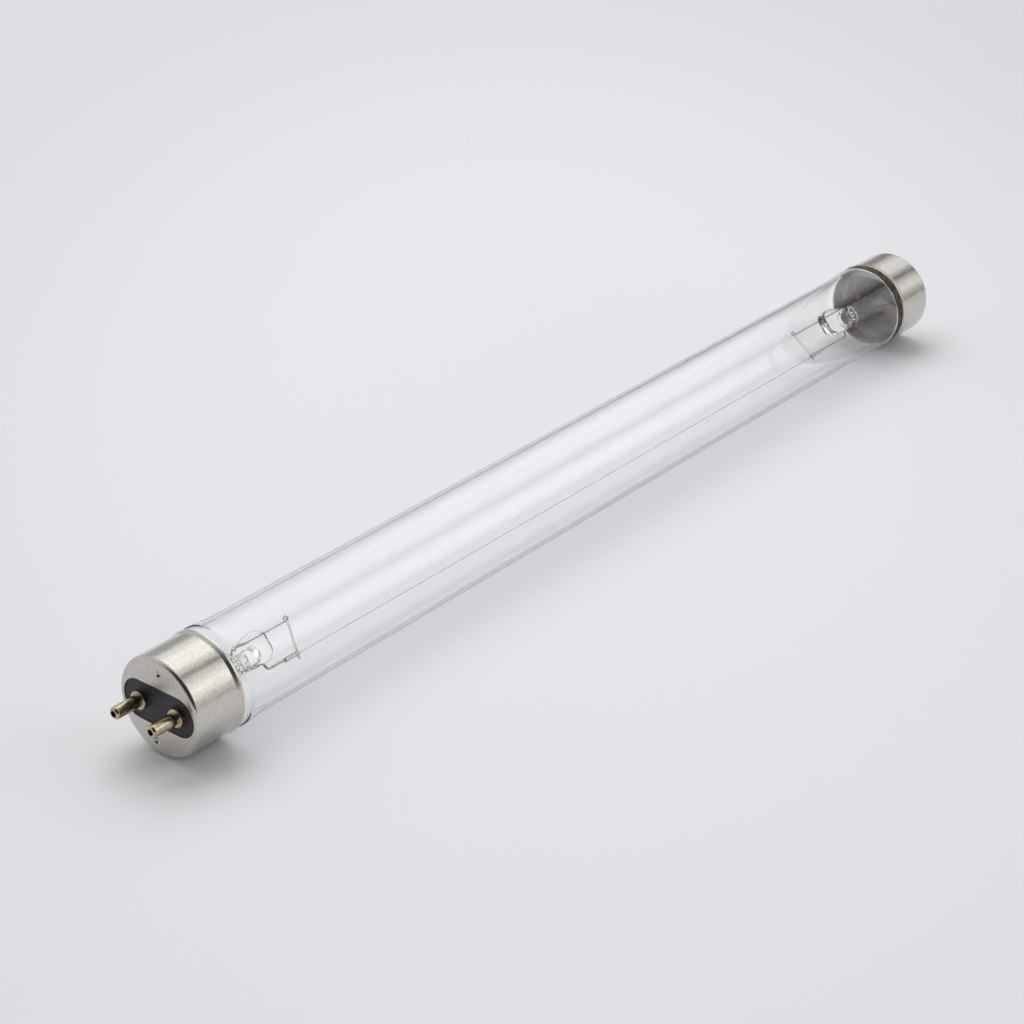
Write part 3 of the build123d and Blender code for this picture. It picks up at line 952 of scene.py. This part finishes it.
def make_wires(end, lead_end, finishes, tree):
    """Every lead of one end."""
    upper_start = mount_point(NECK_END + UPPER_SEAL_START, UPPER_OFFSET)
    upper_joint = mount_point(NECK_END + UPPER_SEAL_START + UPPER_SEAL_LENGTH, UPPER_OFFSET)
    lower_start = mount_point(NECK_END + LOWER_SEAL_START, -LOWER_SEAL_OFFSET)
    lower_joint = mount_point(NECK_END + LOWER_SEAL_START + LOWER_SEAL_LENGTH, -LOWER_JOINT_OFFSET)
    routes = {
        "upper_seal_wire": (SEAL_WIRE_D, 0.0, "seal_wire", [upper_start, upper_joint]),
        "lower_seal_wire": (SEAL_WIRE_D, 0.0, "seal_wire", [lower_start, lower_joint]),
        "upper_support_wire": (UPPER_WIRE_D, 0.0, "nickel_wire", hook_path(upper_joint, lead_end)),
        "lower_support_wire": (LOWER_WIRE_D, LOWER_BEND, "nickel_wire", [
            lower_joint,
            mount_point(NECK_END + LOWER_EXIT, -LOWER_EXIT_OFFSET),
            mount_point(NECK_END + LOWER_EXIT + LOWER_BOW, -LOWER_OFFSET),
            mount_point(lead_end, -LOWER_OFFSET),
        ]),
    }
    for level, side, seal_start in (("upper", 1, upper_start), ("lower", -1, lower_start)):
        routes[f"{level}_outer_lead"] = (OUTER_LEAD_D, LEAD_BEND, "copper_lead", [
            Vector((-PIN_CRIMP, side * PIN_OFFSET, 0)),
            Vector((LEAD_DROP, side * PIN_OFFSET, 0)),
            mount_point(NECK_ENTRY, side * NECK_LEAD_OFFSET),
            mount_point(NECK_END, side * NECK_LEAD_OFFSET),
            seal_start,
        ])
    for name, (diameter, bend, slot, path) in routes.items():
        mesh = wire_mesh(path, diameter, bend, tree, finishes[slot])
        keep(f"{end}_{name}_dressed", set_at_end(mesh, end), finishes[slot], f"{end}_{name}")


def make_starting_wire(finishes, tree):
    """The thin wire between the two clamps."""
    nickel = finishes["nickel_wire"]
    ends = [
        mount_point(along, -STARTER_OFFSET)
        for along in (NEAR_LEAD_END, FACE_TO_FACE - FAR_LEAD_END)
    ]
    mesh = set_at_end(wire_mesh(ends, STARTER_D, 0.0, tree, nickel), "near")
    keep("thin_starting_wire", mesh, nickel, "starting_wire")


# Filament

def make_filament(end, lead_end, finishes, coil, wire):
    """The coiled coil with a leg at each end."""
    tungsten = finishes["coated_tungsten"]
    foot = lead_end + FILAMENT_LEAN
    top = mount_point(foot, UPPER_OFFSET - LEG)
    bottom = mount_point(lead_end - FILAMENT_SET, LOWER_WIRE_D / 2 + LEG - LOWER_OFFSET)
    lean = bottom - top
    side = mount_point(0, 0, 1)
    holder = scratch_object("coil", bpy.data.meshes.new("coil"))
    modifier = holder.modifiers.new("coil", "NODES")
    modifier.node_group = coil
    set_inputs(
        modifier, turns=float(COIL_TURNS), length=lean.length, radius=COIL_R, fine_turns=FINE_TURNS,
        fine_radius=(STRAND_D - FINE_WIRE_D) / 2, wire_radius=FINE_WIRE_D / 2, material=tungsten,
    )
    coil_mesh = baked(holder)
    along = lean.normalized()
    across = along.cross(side)
    turn = Matrix((side, across, along)).transposed().to_4x4()
    coil_mesh.transform(Matrix.Translation(top) @ turn)
    beside = side * COIL_R
    eye = UPPER_OFFSET + HOOK_R
    legs = [
        [
            top + beside,
            mount_point(foot + LEG / 2, eye) + beside,
            mount_point(foot + FILAMENT_TAIL, eye) + beside,
        ],
        [bottom + beside, bottom + beside + along * LEG],
    ]
    bm = bmesh.new()
    bm.from_mesh(coil_mesh)
    for leg in legs:
        bm.from_mesh(wire_mesh(leg, LEG_D, LEG / 2, wire, tungsten, sides=LEG_SIDES))
    mesh = bpy.data.meshes.new("filament")
    bm.to_mesh(mesh)
    bm.free()
    mesh.polygons.foreach_set("use_smooth", [True] * len(mesh.polygons))
    keep(f"{end}_coil", set_at_end(mesh, end), tungsten, f"{end}_filament")


# Caps

def make_cap(end, finishes):
    """Shell, plate, pins, clamp and cement of one end."""
    dressed = {
        "cap_shell": "cap_aluminium",
        "insulator_plate": "black_insulator",
        "left_pin": "pin_brass",
        "right_pin": "pin_brass",
        "filament_clamp": "nickel_wire",
        "basing_cement": "basing_cement",
    }
    for name, slot in dressed.items():
        node = f"{end}_{name}"
        keep(f"{node}_dressed", smooth_copy(node), finishes[slot], node)


# Studio

CAMERA_AT = (-0.49923, -0.38248, 0.31723)
CAMERA_YAW = radians(39.330)
CAMERA_PITCH = radians(27.834)
CAMERA_LENS = 86.92
SENSOR_WIDTH = 36.0
CLIP_NEAR = 0.01
CLIP_FAR = 50.0


def make_camera():
    """Camera at the photograph's angle."""
    level = cos(CAMERA_PITCH)
    forward = Vector((level * cos(CAMERA_YAW), level * sin(CAMERA_YAW), -sin(CAMERA_PITCH)))
    data = bpy.data.cameras.new("camera")
    data.lens = CAMERA_LENS
    data.sensor_width = SENSOR_WIDTH
    data.clip_start = CLIP_NEAR
    data.clip_end = CLIP_FAR
    camera = bpy.data.objects.new("camera", data)
    camera.location = CAMERA_AT
    camera.rotation_euler = forward.to_track_quat("-Z", "Y").to_euler()
    bpy.context.scene.collection.objects.link(camera)
    bpy.context.scene.camera = camera


# The floor's colour goes from pale near the lamp to darker away from it: painted shade, a falloff
# of the light painted into the floor.
FLOOR_PALE = (0.80, 0.803, 0.825)
FLOOR_PAINTED_SHADE = (0.70, 0.702, 0.722)
FLOOR_RADIUS = 1.2
FLOOR_SEGMENTS = 96
FLOOR_ROUGH = 0.85
FLOOR_SHEEN = 0.2
PALE_MIDDLE = (0.062, 0.051)
PALE_SIZE = (0.42, 0.23)
PALE_UP_TO = 0.3
PAINTED_SHADE_FROM = 1.3


def make_floor():
    """A wide pale floor under the lips of the caps, with painted shade that darkens it away from
    the lamp.
    """
    bm = bmesh.new()
    bmesh.ops.create_circle(bm, cap_ends=True, radius=FLOOR_RADIUS, segments=FLOOR_SEGMENTS)
    mesh = bpy.data.meshes.new("floor")
    bm.to_mesh(mesh)
    bm.free()
    mesh.transform(Matrix.Translation((0, 0, -LIP_R * MM)))
    material, t, shader = new_finish("pale_floor")
    shader.inputs["Roughness"].default_value = FLOOR_ROUGH
    shader.inputs["Specular IOR Level"].default_value = FLOOR_SHEEN
    place = t.add("ShaderNodeTexCoord")
    oval = t.add(
        "ShaderNodeMapping", vector_type="TEXTURE",
        in_Location=(*PALE_MIDDLE, -LIP_R * MM), in_Rotation=(0, 0, CAMERA_YAW),
        in_Scale=(*PALE_SIZE, 1),
    )
    reach = t.add("ShaderNodeVectorMath", operation="LENGTH")
    # Painted shade: darker away from the oval about the lamp.
    away = t.ease(PALE_UP_TO, PAINTED_SHADE_FROM)
    colour = t.add(
        "ShaderNodeMix", data_type="RGBA", in_A=(*FLOOR_PALE, 1), in_B=(*FLOOR_PAINTED_SHADE, 1),
    )
    t.link(place.outputs["Object"], oval.inputs["Vector"])
    t.link(oval.outputs["Vector"], reach.inputs[0])
    t.link(reach.outputs["Value"], away.inputs["Value"])
    t.link(away.outputs["Result"], colour.inputs["Factor"])
    t.link(colour.outputs["Result"], shader.inputs["Base Color"])
    mesh.materials.append(material)
    floor = bpy.data.objects.new("floor", mesh)
    bpy.context.scene.collection.objects.link(floor)


# Brightness of the soft lights by the angle about the lamp, as a share of half a turn
SKY_STOPS = (
    (0.00, 0.50), (0.13, 0.50), (0.24, 1.15), (0.34, 1.52), (0.48, 1.48), (0.55, 0.95),
    (0.615, 0.36), (0.68, 0.95), (0.75, 1.28), (0.81, 1.50), (0.875, 1.25), (0.94, 0.80),
    (1.00, 0.60),
)
SKY_PLAIN = 0.70
SKY_DARK = 0.06
SKY_BLUE = 1.01

# Where the soft lights begin and fall off along X, and where the dark side begins
SOFT_LIGHTS_FROM = 0.1
SOFT_LIGHTS_FULL = 0.6
FALL_FROM = 0.70
FALL_TO = 0.84
FALL_LEFT = 0.68
DARK_FROM = 0.34
DARK_FULL = 0.80


def sky_grey(level):
    """A faintly blue grey of the sky."""
    return (level, level, level * SKY_BLUE, 1)


def make_world():
    """A room with a long soft light behind the lamp and one beside it, dark behind the camera."""
    world = bpy.data.worlds.new("studio")
    bpy.context.scene.world = world
    world.use_nodes = True
    t = Tree(world.node_tree)
    background = world.node_tree.nodes["Background"]
    place = t.add("ShaderNodeTexCoord")
    split = t.add("ShaderNodeSeparateXYZ")
    around = t.add("ShaderNodeMath", operation="ARCTAN2")
    share = t.add("ShaderNodeMath", operation="DIVIDE", in_1=pi)
    ramp = t.add("ShaderNodeValToRGB")
    stops = ramp.color_ramp
    stops.interpolation = "EASE"
    stops.elements.remove(stops.elements[1])
    for k, (position, level) in enumerate(SKY_STOPS):
        stop = stops.elements[0] if k == 0 else stops.elements.new(position)
        stop.position = position
        stop.color = sky_grey(level)
    fall = t.ease(FALL_FROM, FALL_TO, 1.0, FALL_LEFT)
    soft = t.add("ShaderNodeVectorMath", operation="SCALE")
    ahead = t.ease(SOFT_LIGHTS_FROM, SOFT_LIGHTS_FULL)
    mix = t.add("ShaderNodeMix", data_type="RGBA", in_A=sky_grey(SKY_PLAIN))
    dark_side = Vector(CAMERA_AT).normalized()
    facing = t.add("ShaderNodeVectorMath", operation="DOT_PRODUCT", in_1=dark_side)
    shade = t.ease(DARK_FROM, DARK_FULL, 1.0, SKY_DARK)
    dim = t.add("ShaderNodeVectorMath", operation="SCALE")
    t.link(place.outputs["Generated"], split.inputs[0])
    t.link(split.outputs["Z"], around.inputs[0])
    t.link(split.outputs["Y"], around.inputs[1])
    t.link(around.outputs[0], share.inputs[0])
    t.link(share.outputs[0], ramp.inputs[0])
    t.link(split.outputs["X"], ahead.inputs["Value"])
    t.link(ahead.outputs["Result"], mix.inputs["Factor"])
    t.link(split.outputs["X"], fall.inputs["Value"])
    t.link(ramp.outputs["Color"], soft.inputs[0])
    t.link(fall.outputs["Result"], soft.inputs["Scale"])
    t.link(soft.outputs[0], mix.inputs["B"])
    t.link(place.outputs["Generated"], facing.inputs[0])
    t.link(facing.outputs["Value"], shade.inputs["Value"])
    t.link(mix.outputs["Result"], dim.inputs[0])
    t.link(shade.outputs["Result"], dim.inputs["Scale"])
    t.link(dim.outputs[0], background.inputs["Color"])


def panel(name, direction, distance, width, height, radiance):
    """A soft rectangular light turned to the lamp's middle, which reflections don't show."""
    place = Vector(direction).normalized() * distance
    data = bpy.data.lights.new(name, "AREA")
    data.shape = "RECTANGLE"
    data.size = width
    data.size_y = height
    data.energy = radiance * pi * width * height
    light = bpy.data.objects.new(name, data)
    light.location = place
    light.rotation_euler = (-place).to_track_quat("-Z", "Y").to_euler()
    light.visible_glossy = False
    light.visible_transmission = False
    bpy.context.scene.collection.objects.link(light)


def make_studio():
    """Camera, floor, world and lights."""
    make_camera()
    make_floor()
    make_world()
    panel(
        "key_panel", direction=(0.20, 0.46, 0.86), distance=2.4,
        width=2.6, height=1.6, radiance=2.25,
    )
    panel(
        "fill_panel", direction=(-0.70, -0.50, 0.55), distance=1.8,
        width=1.2, height=1.2, radiance=1.0,
    )
    bpy.context.scene.view_settings.view_transform = "Standard"


finishes = make_finishes()
wires = wire_tree()
coils = coil_tree()
make_tube(finishes)
ends = (("near", NEAR_PRESS_END, NEAR_LEAD_END), ("far", FAR_PRESS_END, FAR_LEAD_END))
for end, press_end, lead_end in ends:
    make_cap(end, finishes)
    make_stem(end, press_end, finishes)
    make_wires(end, lead_end, finishes, wires)
    make_filament(end, lead_end, finishes, coils, wires)
make_starting_wire(finishes, wires)
make_studio()
